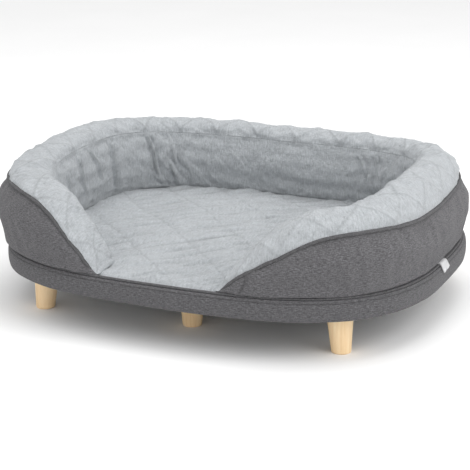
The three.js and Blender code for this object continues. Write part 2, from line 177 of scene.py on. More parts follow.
OUTLINE_THETA = np.linspace(-math.pi / 2, 1.5 * math.pi, 12001)
OUTLINE_X, OUTLINE_Y = outline_points(OUTLINE_THETA)[:2]
OUTLINE_ARC = np.concatenate([[0], np.cumsum(np.hypot(np.diff(OUTLINE_X), np.diff(OUTLINE_Y)))])
PERIMETER = OUTLINE_ARC[-1]
FIRST_QUARTER = 3000        # samples from the middle of the front to the right end


def outline_at(distance):
    """Points and outward normals of the outline at distances from the middle of the front."""
    theta = np.interp(np.mod(distance, PERIMETER), OUTLINE_ARC, OUTLINE_THETA)
    return outline_points(theta)


TIP_START = float(np.interp(TIP_X, OUTLINE_X[:FIRST_QUARTER], OUTLINE_ARC[:FIRST_QUARTER]))
PATH = PERIMETER - 2 * TIP_START


def on_outline(distance, inset, height, shift=0.0):
    """Points at insets from the outline; distances are one for each row, or one for each point."""
    if np.ndim(distance) == 1:
        distance = distance[:, None]
    x, y, nx, ny = outline_at(distance)
    px = x - nx * inset + MID_X + shift
    py = y - ny * inset + MID_Y
    return np.stack(np.broadcast_arrays(px, py, height), axis=-1)


# ---- meshes ----------------------------------------------------------------------------------

def make_object(name, mesh, material):
    obj = bpy.data.objects.new(name, mesh)
    bpy.context.scene.collection.objects.link(obj)
    mesh.materials.append(material)
    mesh.shade_smooth()
    return obj


def grid_faces(rows, cols, loop_rows, loop_cols):
    r = np.arange(rows if loop_rows else rows - 1)
    c = np.arange(cols if loop_cols else cols - 1)
    r, c = np.meshgrid(r, c, indexing="ij")
    r2, c2 = (r + 1) % rows, (c + 1) % cols
    quads = np.stack([r * cols + c, r2 * cols + c, r2 * cols + c2, r * cols + c2], axis=-1)
    return quads.reshape(-1, 4)


def grid_mesh(name, points, uv=None, loop_rows=False, loop_cols=False, flip=False, shade=0.0):
    """A mesh over a grid of points; uv is in metres on the cloth, and shade is painted shade, 1 in
    sewn lines.
    """
    rows, cols = points.shape[:2]
    quads = grid_faces(rows, cols, loop_rows, loop_cols)
    if flip:
        quads = quads[:, ::-1]
    mesh = bpy.data.meshes.new(name)
    mesh.vertices.add(rows * cols)
    mesh.vertices.foreach_set("co", points.reshape(-1).astype(np.float32))
    mesh.loops.add(quads.size)
    mesh.loops.foreach_set("vertex_index", quads.reshape(-1).astype(np.int32))
    mesh.polygons.add(len(quads))
    starts = np.arange(0, quads.size, 4)
    mesh.polygons.foreach_set("loop_start", starts.astype(np.int32))
    mesh.update(calc_edges=True)
    if uv is not None:
        flat = uv.reshape(-1, 2)[quads.reshape(-1)]
        layer = mesh.uv_layers.new(name="cloth")
        layer.data.foreach_set("uv", flat.reshape(-1).astype(np.float32))
    # The shade attribute darkens the cloth's colour: painted shade in seams, creases and folds.
    painted_shade = mesh.attributes.new("shade", "FLOAT", "POINT")
    shade = np.broadcast_to(shade, (rows, cols))
    painted_shade.data.foreach_set("value", shade.reshape(-1).astype(np.float32))
    mesh.validate()
    return mesh


def grid_normals(points, loop_rows=False, loop_cols=False):
    def difference(axis, loop):
        if loop:
            return np.roll(points, -1, axis) - np.roll(points, 1, axis)
        return np.gradient(points, axis=axis)
    n = np.cross(difference(0, loop_rows), difference(1, loop_cols))
    return n / np.maximum(np.linalg.norm(n, axis=-1, keepdims=True), 1e-12)


def thicken(obj, thickness, offset=-1):
    modifier = obj.modifiers.new("cloth_thickness", "SOLIDIFY")
    modifier.thickness = thickness
    modifier.offset = offset
    modifier.use_even_offset = False
    return obj


def tube_points(centre, across, up, radius, sides):
    """Rings of points round a run of centre points."""
    a = 2 * math.pi * (np.arange(sides) + 0.5) / sides
    ring = across[:, None, :] * np.cos(a)[None, :, None] + up[:, None, :] * np.sin(a)[None, :, None]
    if np.ndim(radius):
        radius = np.asarray(radius)[:, None, None]
    return centre[:, None, :] + ring * radius


# ---- materials -------------------------------------------------------------------------------

class Nodes:
    """Short names for building one material's nodes."""

    def __init__(self, name):
        self.material = bpy.data.materials.new(name)
        self.material.use_nodes = True
        self.tree = self.material.node_tree
        self.shader = self.tree.nodes["Principled BSDF"]

    def add(self, kind, inputs=None, **settings):
        node = self.tree.nodes.new(kind)
        for key, value in settings.items():
            setattr(node, key, value)
        for key, value in (inputs or {}).items():
            self.put(node.inputs[key], value)
        return node

    def put(self, socket, value):
        if isinstance(value, bpy.types.NodeSocket):
            self.tree.links.new(value, socket)
        else:
            socket.default_value = value

    def math(self, operation, a, b=0.0, c=0.0):
        node = self.add("ShaderNodeMath", operation=operation)
        for i, value in enumerate((a, b, c)):
            self.put(node.inputs[i], value)
        return node.outputs[0]

    def weighted(self, *parts):
        """The sum of some values, each times its own weight."""
        total = None
        for value, weight in parts:
            part = self.math("MULTIPLY", value, weight)
            total = part if total is None else self.math("ADD", total, part)
        return total

    def coordinates(self, kind="Object"):
        return self.add("ShaderNodeTexCoord").outputs[kind]

    def shade(self):
        """The mesh's painted-shade value, 1 in sewn lines and creases."""
        return self.add("ShaderNodeAttribute", attribute_name="shade").outputs["Fac"]

    def ramp(self, value, stops):
        node = self.add("ShaderNodeValToRGB", {"Fac": value})
        while len(node.color_ramp.elements) < len(stops):
            node.color_ramp.elements.new(0.5)
        for element, (place, colour) in zip(node.color_ramp.elements, stops):
            element.position = place
            element.color = (*colour, 1)
        return node.outputs["Color"]

    def mix(self, share, a, b, blend="MIX"):
        node = self.add("ShaderNodeMix", data_type="RGBA", blend_type=blend)
        self.put(node.inputs[0], share)
        self.put(node.inputs[6], a)
        self.put(node.inputs[7], b)
        return node.outputs[2]

    def noise(self, vector, scale, detail=2.0, rough=0.5):
        inputs = {"Vector": vector, "Scale": scale, "Detail": detail, "Roughness": rough}
        return self.add("ShaderNodeTexNoise", inputs).outputs["Fac"]

    def scaled(self, vector, scale, turn=0.0):
        inputs = {"Vector": vector, "Scale": scale, "Rotation": (0, 0, turn)}
        return self.add("ShaderNodeMapping", inputs).outputs["Vector"]

    def bump(self, height, strength, distance, normal=None):
        inputs = {"Height": height, "Strength": strength, "Distance": distance}
        node = self.add("ShaderNodeBump", inputs)
        if normal is not None:
            self.put(node.inputs["Normal"], normal)
        return node.outputs["Normal"]

    def finish(self, colour, roughness, normal=None, metallic=0.0, sheen=0.0, sheen_rough=0.5,
               specular=0.5):
        self.put(self.shader.inputs["Base Color"], colour)
        self.put(self.shader.inputs["Roughness"], roughness)
        self.shader.inputs["Metallic"].default_value = metallic
        self.shader.inputs["Sheen Weight"].default_value = sheen
        self.shader.inputs["Sheen Roughness"].default_value = sheen_rough
        self.shader.inputs["Specular IOR Level"].default_value = specular
        if normal is not None:
            self.put(self.shader.inputs["Normal"], normal)
        return self.material


def grey(level, tint=(1.0, 1.0, 1.0)):
    return tuple(level * t for t in tint)


def melange_cloth(name, dark, light, tint):
    """Heathered plain weave: two greys of yarn, with slubs along both thread directions."""
    n = Nodes(name)
    uv = n.add("ShaderNodeUVMap", uv_map="cloth").outputs["UV"]
    warp = n.noise(n.scaled(uv, (900, 110, 1)), 1.0, 2.0)
    weft = n.noise(n.scaled(uv, (110, 900, 1)), 1.0, 2.0)
    slub = n.noise(n.scaled(uv, (120, 560, 1)), 1.0, 2.0, 0.6)
    blotch = n.noise(n.scaled(uv, (300, 380, 1)), 1.0, 3.0, 0.7)
    yarn = n.weighted((warp, 0.15), (weft, 0.25), (blotch, 0.30), (slub, 0.30))
    colour = n.ramp(yarn, [(0.40, grey(dark, tint)), (0.50, grey((dark + light) * 0.46, tint)),
                           (0.61, grey(light, tint))])
    # Painted shade: the colour is darkened towards half the dark yarn where the shade attribute
    # marks seams and creases.
    painted_shade = n.math("MULTIPLY", n.shade(), 0.6)
    colour = n.mix(painted_shade, colour, (*grey(dark * 0.5), 1))
    wave_a = n.add("ShaderNodeTexWave", {"Vector": uv, "Scale": 280.0}, bands_direction="X")
    wave_b = n.add("ShaderNodeTexWave", {"Vector": uv, "Scale": 280.0}, bands_direction="Y")
    weave = n.math("MAXIMUM", wave_a.outputs["Fac"], wave_b.outputs["Fac"])
    height = n.math("ADD", weave, n.math("MULTIPLY", yarn, 2.0))
    normal = n.bump(height, 0.6, 0.0006)
    rough = n.math("MULTIPLY_ADD", blotch, 0.15, 0.82)
    return n.finish(colour, rough, normal, sheen=0.10, sheen_rough=0.5, specular=0.2)


def plush_pile(name, low, high, tint):
    """Short soft pile: tufts, strands combed across each panel, and a soft sheen."""
    n = Nodes(name)
    place = n.coordinates()
    brushed = n.noise(place, 45.0, 4.0, 0.65)
    clumps = n.noise(place, 170.0, 3.0, 0.6)
    tufts = n.noise(place, 430.0, 3.0, 0.65)
    fine = n.noise(place, 1500.0, 2.0, 0.6)
    cloth = n.coordinates("UV")
    combed = n.add("ShaderNodeVectorMath", {0: cloth, 1: (1.0, 0.22, 1.0)}, operation="MULTIPLY")
    strands = n.noise(combed.outputs[0], 330.0, 3.0, 0.6)
    mixed = n.weighted((brushed, 0.14), (clumps, 0.18), (tufts, 0.30), (strands, 0.38))
    colour = n.ramp(mixed, [(0.38, grey(low, tint)), (0.62, grey(high, tint))])
    # Painted shade: the pile's colour is darkened where the shade attribute marks stitching,
    # creases and folds, broken up by the tufts.
    painted_shade = n.math("MULTIPLY", n.shade(), n.math("MULTIPLY_ADD", tufts, 0.8, 0.15))
    colour = n.mix(painted_shade, colour, (*grey(low * 0.55, tint), 1))
    height = n.weighted((clumps, 0.7), (tufts, 1.0), (strands, 1.3), (fine, 0.4))
    normal = n.bump(height, 0.8, 0.0035)
    rough = n.math("MULTIPLY_ADD", tufts, 0.1, 0.88)
    return n.finish(colour, rough, normal, sheen=0.25, sheen_rough=0.4, specular=0.1)


def lacquered_wood(name):
    """Pale beech turned along the grain, under a satin lacquer."""
    n = Nodes(name)
    place = n.coordinates()
    grain = n.noise(n.scaled(place, (220, 220, 14)), 1.0, 4.0, 0.6)
    rings = n.noise(n.scaled(place, (45, 45, 4)), 1.0, 2.0, 0.5)
    flecks = n.noise(n.scaled(place, (900, 900, 120)), 1.0, 2.0, 0.5)
    mixed = n.weighted((grain, 0.55), (rings, 0.45))
    colour = n.ramp(mixed, [(0.30, (0.74, 0.50, 0.27)), (0.48, (0.86, 0.63, 0.37)),
                            (0.70, (0.92, 0.73, 0.48))])
    colour = n.mix(n.math("MULTIPLY", flecks, 0.16), colour, (0.50, 0.31, 0.15, 1))
    normal = n.bump(n.math("ADD", grain, flecks), 0.18, 0.0004)
    rough = n.math("MULTIPLY_ADD", grain, 0.15, 0.38)
    return n.finish(colour, rough, normal, specular=0.4)


def plywood(name):
    """Thin layers on the cut edge, with grain along the sheet."""
    n = Nodes(name)
    place = n.coordinates()
    layers = n.add("ShaderNodeTexWave", {"Vector": place, "Scale": 160.0, "Distortion": 1.0},
                   bands_direction="Z").outputs["Fac"]
    grain = n.noise(n.scaled(place, (12, 160, 160)), 1.0, 4.0, 0.6)
    mixed = n.weighted((grain, 0.6), (layers, 0.4))
    colour = n.ramp(mixed, [(0.3, (0.36, 0.23, 0.11)), (0.7, (0.62, 0.45, 0.26))])
    normal = n.bump(grain, 0.3, 0.0006)
    return n.finish(colour, n.math("MULTIPLY_ADD", grain, 0.2, 0.65), normal)


def zinc_steel(name):
    """Bright zinc plate, faintly streaked."""
    n = Nodes(name)
    place = n.coordinates()
    spangle = n.add("ShaderNodeTexVoronoi", {"Vector": place, "Scale": 260.0}).outputs["Distance"]
    streak = n.noise(n.scaled(place, (60, 900, 900)), 1.0, 3.0, 0.6)
    colour = n.ramp(spangle, [(0.0, (0.47, 0.48, 0.50)), (0.6, (0.66, 0.67, 0.69))])
    rough = n.math("MULTIPLY_ADD", streak, 0.25, 0.25)
    return n.finish(colour, rough, n.bump(streak, 0.1, 0.0002), metallic=1.0)


def nonwoven(name):
    """Black spun cloth with its pattern of bonded dots."""
    n = Nodes(name)
    place = n.coordinates()
    fibres = n.noise(place, 900.0, 3.0, 0.7)
    dots = n.add("ShaderNodeTexVoronoi", {"Vector": place, "Scale": 380.0}).outputs["Distance"]
    colour = n.ramp(fibres, [(0.3, (0.012, 0.012, 0.013)), (0.7, (0.035, 0.035, 0.038))])
    normal = n.bump(n.math("ADD", dots, fibres), 0.5, 0.0006)
    return n.finish(colour, n.math("MULTIPLY_ADD", fibres, 0.2, 0.75), normal, sheen=0.1)


def satin_ribbon(name):
    """Pale ribbed ribbon."""
    n = Nodes(name)
    place = n.coordinates()
    rib = n.add("ShaderNodeTexWave", {"Vector": place, "Scale": 500.0},
                bands_direction="Y").outputs["Fac"]
    tone = n.noise(place, 120.0, 2.0, 0.5)
    colour = n.ramp(tone, [(0.3, (0.46, 0.46, 0.47)), (0.7, (0.60, 0.60, 0.61))])
    rough = n.math("MULTIPLY_ADD", rib, 0.2, 0.4)
    return n.finish(colour, rough, n.bump(rib, 0.4, 0.0003), sheen=0.1)


def floor_paint(name):
    """Plain pale floor."""
    n = Nodes(name)
    place = n.coordinates()
    tone = n.noise(place, 3.0, 2.0, 0.5)
    colour = n.ramp(tone, [(0.0, (0.90, 0.90, 0.90)), (1.0, (0.93, 0.93, 0.93))])
    return n.finish(colour, 0.9, specular=0.1)


DARK = melange_cloth("dark_melange", 0.052, 0.182, (1.0, 0.98, 1.03))
WELT = melange_cloth("dark_welt", 0.040, 0.150, (1.0, 0.985, 1.03))
PLUSH = plush_pile("grey_plush", 0.36, 0.58, (0.945, 0.99, 1.03))
WOOD = lacquered_wood("beech")
PLY = plywood("plywood")
STEEL = zinc_steel("zinc_steel")
BLACK = nonwoven("black_nonwoven")
RIBBON = satin_ribbon("ribbon")


# ---- cloth simulation ------------------------------------------------------------------------

FRAMES = 20                 # steps of each simulation
CLOTH_SETTINGS = {"quality": 6, "mass": 0.25, "tension_stiffness": 12, "compression_stiffness": 12,
                  "shear_stiffness": 4, "bending_stiffness": 0.3, "tension_damping": 12,
                  "compression_damping": 12, "air_damping": 3, "use_pressure": True}
REST_HEIGHT = 1.005         # the panels are cut this much higher than the form
START_WAVE = 0.0012         # waviness given to the cloth before it settles


def resample(grid, rows, cols):
    """Smooth values of a grid at fractional rows and columns."""
    def along(values, at):
        last = len(values) - 1
        i = np.clip(np.floor(at).astype(int), 0, last - 1)
        t = (at - i).reshape((-1,) + (1,) * (values.ndim - 1))
        a, b, c, d = (values[np.clip(i + k, 0, last)] for k in (-1, 0, 1, 2))
        return b + 0.5 * t * (c - a + t * (2 * a - 5 * b + 4 * c - d + t * (3 * (b - c) + d - a)))
    first = along(grid, np.asarray(rows, float))
    return along(first.swapaxes(0, 1), np.asarray(cols, float)).swapaxes(0, 1)


def settle(points, rest, pinned, pressure, cap):
    """How far each point of a cloth moves when it is cut to its flat rest shape, sewn down
    where it is pinned, and filled from inside, up to about a cap."""
    mesh = grid_mesh("settling", points, flip=True)
    obj = bpy.data.objects.new("settling", mesh)
    bpy.context.scene.collection.objects.link(obj)
    obj.shape_key_add(name="Basis")
    key = obj.shape_key_add(name="cut")
    key.data.foreach_set("co", rest.reshape(-1).astype(np.float32))
    group = obj.vertex_groups.new(name="sewn")
    group.add([int(i) for i in np.flatnonzero(pinned.reshape(-1))], 1.0, "REPLACE")
    modifier = obj.modifiers.new("cloth", "CLOTH")
    cloth = modifier.settings
    for setting, value in CLOTH_SETTINGS.items():
        setattr(cloth, setting, value)
    cloth.vertex_group_mass = "sewn"
    cloth.rest_shape_key = key
    cloth.uniform_pressure_force = pressure
    cloth.effector_weights.gravity = 0
    modifier.point_cache.frame_start = 1
    modifier.point_cache.frame_end = FRAMES
    for number in range(1, FRAMES + 1):
        bpy.context.scene.frame_set(number)
    seen = obj.evaluated_get(bpy.context.evaluated_depsgraph_get())
    moved = np.empty(points.size, dtype=np.float32)
    seen.data.vertices.foreach_get("co", moved)
    bpy.context.scene.frame_set(1)
    bpy.data.objects.remove(obj)
    bpy.data.meshes.remove(mesh)
    shift = moved.reshape(points.shape).astype(float) - points
    size = np.linalg.norm(shift, axis=-1, keepdims=True)
    return shift * (cap * np.tanh(size / cap) / np.maximum(size, 1e-9))


def panel_shift(e, v, panel, fullness, pressure, cap, seed, sizes=(0.010, 0.010)):
    """The settled shift of one bolster panel, for the finer stations e and shares v."""
    coarse_e = np.linspace(e[0], e[-1], int((e[-1] - e[0]) / sizes[0]))
    sample = bolster_panel(coarse_e, panel, np.linspace(0, 1, 9))
    width = np.linalg.norm(np.diff(sample, axis=1), axis=-1).sum(1).max()
    coarse_v = np.linspace(0, 1, int(width / sizes[1]) + 2)
    base = bolster_panel(coarse_e, panel, coarse_v)
    uv = cloth_uv(base)
    extra = 1 + fullness(coarse_e)
    step = np.diff(uv[:, 0, 0], prepend=uv[0, 0, 0]) * extra
    rest = np.stack([np.broadcast_to(np.cumsum(step)[:, None], uv.shape[:2]),
                     uv[..., 1] * REST_HEIGHT, np.zeros(uv.shape[:2])], axis=-1)
    start = base - grid_normals(base) * (waves(uv, 0.05, seed) * START_WAVE)[..., None]
    pinned = np.zeros(uv.shape[:2], bool)
    pinned[:, 0] = pinned[:, -1] = pinned[0] = pinned[-1] = True
    start[pinned] = base[pinned]
    shift = settle(start, rest, pinned, pressure, cap) + (start - base)
    rows = np.interp(e, coarse_e, np.arange(len(coarse_e)))
    return resample(shift, rows, v * (len(coarse_v) - 1))


def corner_share(e):
    """1 round the four corners of the bed and 0 along its straighter sides."""
    x, y, _, _ = outline_at(e + TIP_START)
    return smooth((np.abs(x / HALF_LENGTH) * np.abs(y / HALF_DEPTH) - 0.28) / 0.35)


# ---- bolster ---------------------------------------------------------------------------------

END_RUN = 0.006             # how far past its tip an arm rounds off
FOOT = 0.0006               # the sewn edges stand this far above the frame's rim
ROLL_OUT = 0.0075           # the outer cloth rolls out over the rim by this much
ROLL_HEIGHT = 0.004
BASE_GAP = 0.0004           # height of the base cloth above the rim
LEFT_SHORT = 0.009          # the left arm stops this much short of the right one's length
LEFT_SLANT = 0.014          # and its end slants back towards the pad
LEFT_RUN = 0.20             # length of the left arm over which both come in


def path_stations(step):
    """Distances along the bolster, finer at the tips, with the short rounded run past each end."""
    near = np.concatenate([[0, 0.0003, 0.001, 0.002, 0.0035, 0.005],
                           np.arange(END_RUN, 0.08, step * 0.7)])
    count = int((PATH - 0.16) / step)
    middle = np.linspace(0.08, PATH - 0.08, count)
    return np.concatenate([near - END_RUN, middle, (PATH + END_RUN - near)[::-1]])


def section_heights(e):
    """Distance from the nearer tip, heights of welt and ridge, and how full the section is."""
    tip = np.minimum(e, PATH - e)
    close = np.sqrt(np.clip(1 - (np.clip(-tip, 0, END_RUN) / END_RUN) ** 2, 0, 1))
    tip = np.clip(tip, 0, None)
    left = smooth((e / PATH - 0.4) / 0.2)
    welt = curve_value(WELT_RIGHT, e) * (1 - left) + curve_value(WELT_LEFT, PATH - e) * left
    welt = welt - 0.0035 * (1 - smooth(tip / 0.012))
    ridge = curve_value(RIDGE_HEIGHTS, tip)
    full = np.clip(ridge / FULL_RIDGE, 0, 1)
    return tip, welt * close, ridge * close, full


def bolster_panel(e, panel, v):
    """Points of one panel: outer, top or inner, at stations e and shares v across it."""
    tip, welt, ridge, full = (a[:, None] for a in section_heights(e))
    v = v[None, :]
    welt_inset = FOOT_OUT + (WELT_INSET - FOOT_OUT) * full
    ridge_inset = RIDGE_INSET_AT_TIP + (RIDGE_INSET - RIDGE_INSET_AT_TIP) * full
    seam_inset = SEAM_INSET_AT_TIP + (SEAM_INSET - SEAM_INSET_AT_TIP) * full
    seam = ridge - SEAM_DROP * full * np.clip(ridge / 0.04, 0, 1)
    if panel == "outer":
        height = FOOT + (welt - FOOT) * v
        bulge = OUTER_BULGE * np.clip(welt / FULL_WELT, 0, 1) * np.sin(math.pi * v ** 1.25)
        turn = 1 - np.clip((height - FOOT) / ROLL_HEIGHT, 0, 1)
        roll = ROLL_OUT * np.clip(welt / 0.03, 0, 1) * np.sqrt(1 - turn ** 2) * (1 - v) ** 0.5
        inset = FOOT_OUT + (welt_inset - FOOT_OUT) * v - bulge - roll
    elif panel == "top":
        a = math.pi / 2 * np.clip(v / 0.55, 0, 1)
        b = math.pi / 2.2 * np.clip((v - 0.55) / 0.45, 0, 1)
        first = v <= 0.55
        rise = welt_inset + (ridge_inset - welt_inset) * (1 - np.cos(a))
        fall = ridge_inset + (seam_inset - ridge_inset) * np.sin(b) / math.sin(math.pi / 2.2)
        inset = np.where(first, rise, fall)
        up = welt + (ridge - welt) * np.sin(a)
        down = ridge - (ridge - seam) * (1 - np.cos(b)) / (1 - math.cos(math.pi / 2.2))
        height = np.where(first, up, down)
    else:
        foot_in = FOOT_IN - FOOT_IN_LESS_AT_TIP * (1 - full)
        bulge = INNER_BULGE * full * np.sin(math.pi * v)
        inset = seam_inset + (foot_in - seam_inset) * v + bulge
        height = seam + (FOOT - seam) * v
    deep = (inset - FOOT_OUT) / (FOOT_IN - FOOT_OUT)
    near_left_tip = smooth(1 - (PATH - e[:, None]) / LEFT_RUN)
    slant = (LEFT_SHORT + LEFT_SLANT * np.clip(deep, 0, 1)) * near_left_tip
    height = TOP + np.maximum(height, FOOT)
    return on_outline(e[:, None] + TIP_START - slant, inset, height, SHIFT_X)


def cloth_uv(points):
    """Distances over the cloth along both directions of a grid."""
    along = np.linalg.norm(np.diff(points, axis=0), axis=-1)
    along = np.concatenate([[0], np.cumsum(along.mean(axis=1))])
    across = np.linalg.norm(np.diff(points, axis=1), axis=-1)
    across = np.concatenate([np.zeros((len(points), 1)), np.cumsum(across, axis=1)], axis=1)
    return np.stack([np.broadcast_to(along[:, None], across.shape), across], axis=-1)


def line_gap(a, spacing, start=0.0):
    """Distance to the nearest of a family of evenly spaced lines."""
    return np.abs((a - start + spacing / 2) % spacing - spacing / 2)


def pillow(gap, width):
    """A stuffed channel's height, 0 on the stitching and 1 between the lines."""
    return 1 - np.exp(-(gap / width) ** 1.15)


def soft_end(v, width):
    """0 at both edges of a panel and 1 past a width from them."""
    return smooth(v / width) * smooth((1 - v) / width)


def build_outer(e):
    """The dark cloth round the outside, smooth, with small tucks at its seams and one dart."""
    v = np.concatenate([[0, 0.002, 0.006, 0.012, 0.020, 0.030, 0.042], np.linspace(0.058, 1, 32)])
    p = bolster_panel(e, "outer", v)
    p = p + panel_shift(e, v, "outer", lambda d: 0.012 + 0 * d, 1.2, 0.006, 7)
    n = -grid_normals(p)
    uv = cloth_uv(p)
    tip = section_heights(e)[0][:, None]
    grown = smooth(tip / 0.12)
    near_welt = np.exp(-((1 - v) / 0.10) ** 2)[None, :]
    near_foot = np.exp(-(v / 0.08) ** 2)[None, :]
    pucker = waves(uv * np.array([1, 0.12]), 0.020, 3)
    sway = waves(p, 0.22, 5) * 0.0020 + waves(p, 0.07, 6) * 0.0007
    tucks = pucker * (near_welt + near_foot) * 0.0012
    dart = np.exp(-((e[:, None] - 0.043 - 0.018 * v[None, :]) / 0.0035) ** 2)
    dart = dart * (smooth((v - 0.05) / 0.2) * smooth((1 - v) / 0.15))[None, :]
    lift = (sway + tucks) * soft_end(v, 0.12)[None, :] * grown - 0.0024 * dart
    sewn = np.exp(-((1 - v) / 0.035) ** 2)[None, :] * 0.9
    # Painted shade along the foot, where the cloth meets the frame's rim.
    low = np.exp(-(v / 0.012) ** 2)[None, :]
    wander = waves(p, 0.10, 4)[:, :1] * 0.0008 * np.exp(-(v / 0.06) ** 2)[None, :]
    p = p + n * (lift + (wander - 0.0012 * sewn) * grown)[..., None]
    # The shade attribute holds painted shade: darker in the seam by the welt, in the dart and along
    # the foot.
    mesh = grid_mesh("bolster_outer_cloth", p, uv, flip=True,
                     shade=np.clip(sewn + 0.8 * dart + 0.6 * low, 0, 1))
    obj = make_object("bolster_outer_cloth", mesh, DARK)
    thicken(obj, CLOTH_THICK)
    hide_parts("bolster_outer_cover", "bolster_filling")
    finish_piece(obj, "nest")


def build_top(e):
    """The plush over the bolster's ridge, quilted in squares set on their corners."""
    v = np.linspace(0, 1, 62)
    p = bolster_panel(e, "top", v)
    p = p + panel_shift(e, v, "top", lambda d: 0.012 + 0.025 * corner_share(d), 0.8, 0.004, 8)
    n = -grid_normals(p)
    uv = cloth_uv(p)
    width = uv[:, -1:, 1]
    middle = uv[..., 1] - width / 2
    drift = waves(uv, 0.30, 14) * 0.004
    a = uv[..., 0] + middle + drift
    b = uv[..., 0] - middle + drift
    step = BOLSTER_QUILT * math.sqrt(2)
    gap = np.minimum(line_gap(a, step), line_gap(b, step)) / math.sqrt(2)
    quilt = pillow(gap, QUILT_ROUND) - QUILT_MEAN
    sway = waves(p, 0.11, 11) * 0.0012 + waves(p, 0.035, 12) * 0.0008
    nap = waves(p, 0.010, 13) * 0.0004
    tip = section_heights(e)[0][:, None]
    grown = 0.35 + 0.65 * smooth(tip / 0.10)
    edge = soft_end(v, 0.12)[None, :]
    roll = 0.0008 * np.exp(-((1 - v - 0.05) / 0.04) ** 2)[None, :] * grown
    lift = (quilt * QUILT_DEPTH_TOP + sway) * edge * grown + roll + nap * soft_end(v, 0.05)[None, :]
    p = p + n * lift[..., None]
    # Painted shade: the quilting's stitch lines and the seam to the inner wall are darkened in the
    # colour.
    seam = np.exp(-((1 - v) / 0.012) ** 2)[None, :]
    sewn = 0.6 * np.exp(-(gap / 0.0019) ** 2) * edge + 0.2 * seam
    mesh = grid_mesh("bolster_top_plush", p, uv, flip=True, shade=np.clip(sewn, 0, 1))
    obj = make_object("bolster_top_plush", mesh, PLUSH)
    thicken(obj, CLOTH_THICK)
    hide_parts("bolster_top_cover")
    finish_piece(obj, "nest")


def sharp_folds(along, v):
    """Depth of the inner cloth's few sharp folds, and their painted shade."""
    depth = np.zeros_like(along)
    shade = np.zeros_like(along)
    for place, drift, start, end, deep in FOLDS:
        run = smooth((v - start) / 0.10) * smooth((end - v) / 0.12)
        x = along - place - drift * v - 0.002 * np.sin(v * 9 + place * 40)
        valley = np.exp(-(x / 0.0045) ** 2)
        lips = np.exp(-((np.abs(x) - 0.011) / 0.008) ** 2)
        depth += deep * run * (0.45 * lips - valley)
        shade += run * np.exp(-(x / 0.0028) ** 2) * deep / 0.007
    return depth, shade


def build_inner(e):
    """The plush wall round the pad, gathered in the corners, with a few sharp folds."""
    v = np.linspace(0, 1, 48)
    p = bolster_panel(e, "inner", v)
    p = p + panel_shift(e, v, "inner", lambda d: 0.018 + 0.12 * corner_share(d), 0.5, 0.006, 9,
                        (0.008, 0.010))
    n = -grid_normals(p)
    uv = cloth_uv(p)
    bend = corner_share(e)[:, None]
    along = np.broadcast_to(e[:, None], uv.shape[:2])
    across = np.broadcast_to(v[None, :], uv.shape[:2])
    deep, dark = sharp_folds(along, across)
    warp = uv[..., 0] + 0.012 * waves(uv, 0.11, 21)
    folds = waves(np.stack([warp, uv[..., 1] * 0.22], -1), 0.034, 22)
    crease = np.clip(-folds - 0.3, 0, 1)
    gather = -crease * (0.0004 + 0.0030 * bend)
    sway = waves(p, 0.09, 24) * 0.0006 + waves(p, 0.028, 26) * 0.0005
    nap = waves(p, 0.010, 25) * 0.0006
    edge = smooth(v / 0.06)[None, :] * smooth((1 - v) / 0.04)[None, :]
    roll = 0.0010 * np.exp(-((v - 0.06) / 0.05) ** 2)[None, :]
    lumps = waves(uv * np.array([1, 0.5]), 0.017, 27) * 0.0017
    lumps = lumps * np.exp(-((v - 0.93) / 0.06) ** 2)[None, :]
    tip = section_heights(e)[0][:, None]
    grown = 0.25 + 0.75 * smooth(tip / 0.10)
    lift = (gather + sway + deep) * edge * grown + roll * grown + (nap + lumps) * edge
    p = p + n * lift[..., None]
    # Painted shade: darker in the sharp folds, in the gathered creases (more in the corners), along
    # the foot where the wall meets the pad, and along the seam at the top.
    low = np.exp(-((1 - v) / 0.05) ** 2)[None, :]
    shade = 0.75 * dark + crease * (0.04 + 0.22 * bend) + 0.40 * low
    shade = shade + 0.12 * np.exp(-(v / 0.012) ** 2)[None, :]
    mesh = grid_mesh("bolster_inner_plush", p, uv, flip=True, shade=np.clip(shade, 0, 1))
    obj = make_object("bolster_inner_plush", mesh, PLUSH)
    thicken(obj, CLOTH_THICK)
    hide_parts("bolster_inner_cover")
    finish_piece(obj, "nest")


def finish_piece(obj, body):
    """Parents a piece to the empty of the body that carries it."""
    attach(obj, body)


def build_base(e):
    """The cloth that closes the bolster underneath, sewn to the feet of both walls."""
    outer = bolster_panel(e, "outer", np.array([0.0]))
    inner = bolster_panel(e, "inner", np.array([1.0]))
    share = np.linspace(0.01, 0.99, 9)[None, :, None]
    p = outer + (inner - outer) * share
    p[..., 2] = TOP + BASE_GAP
    mesh = grid_mesh("bolster_base_lining", p, cloth_uv(p))
    obj = make_object("bolster_base_lining", mesh, BLACK)
    thicken(obj, 0.0003, 0)
    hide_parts("bolster_base_cloth")
    finish_piece(obj, "nest")


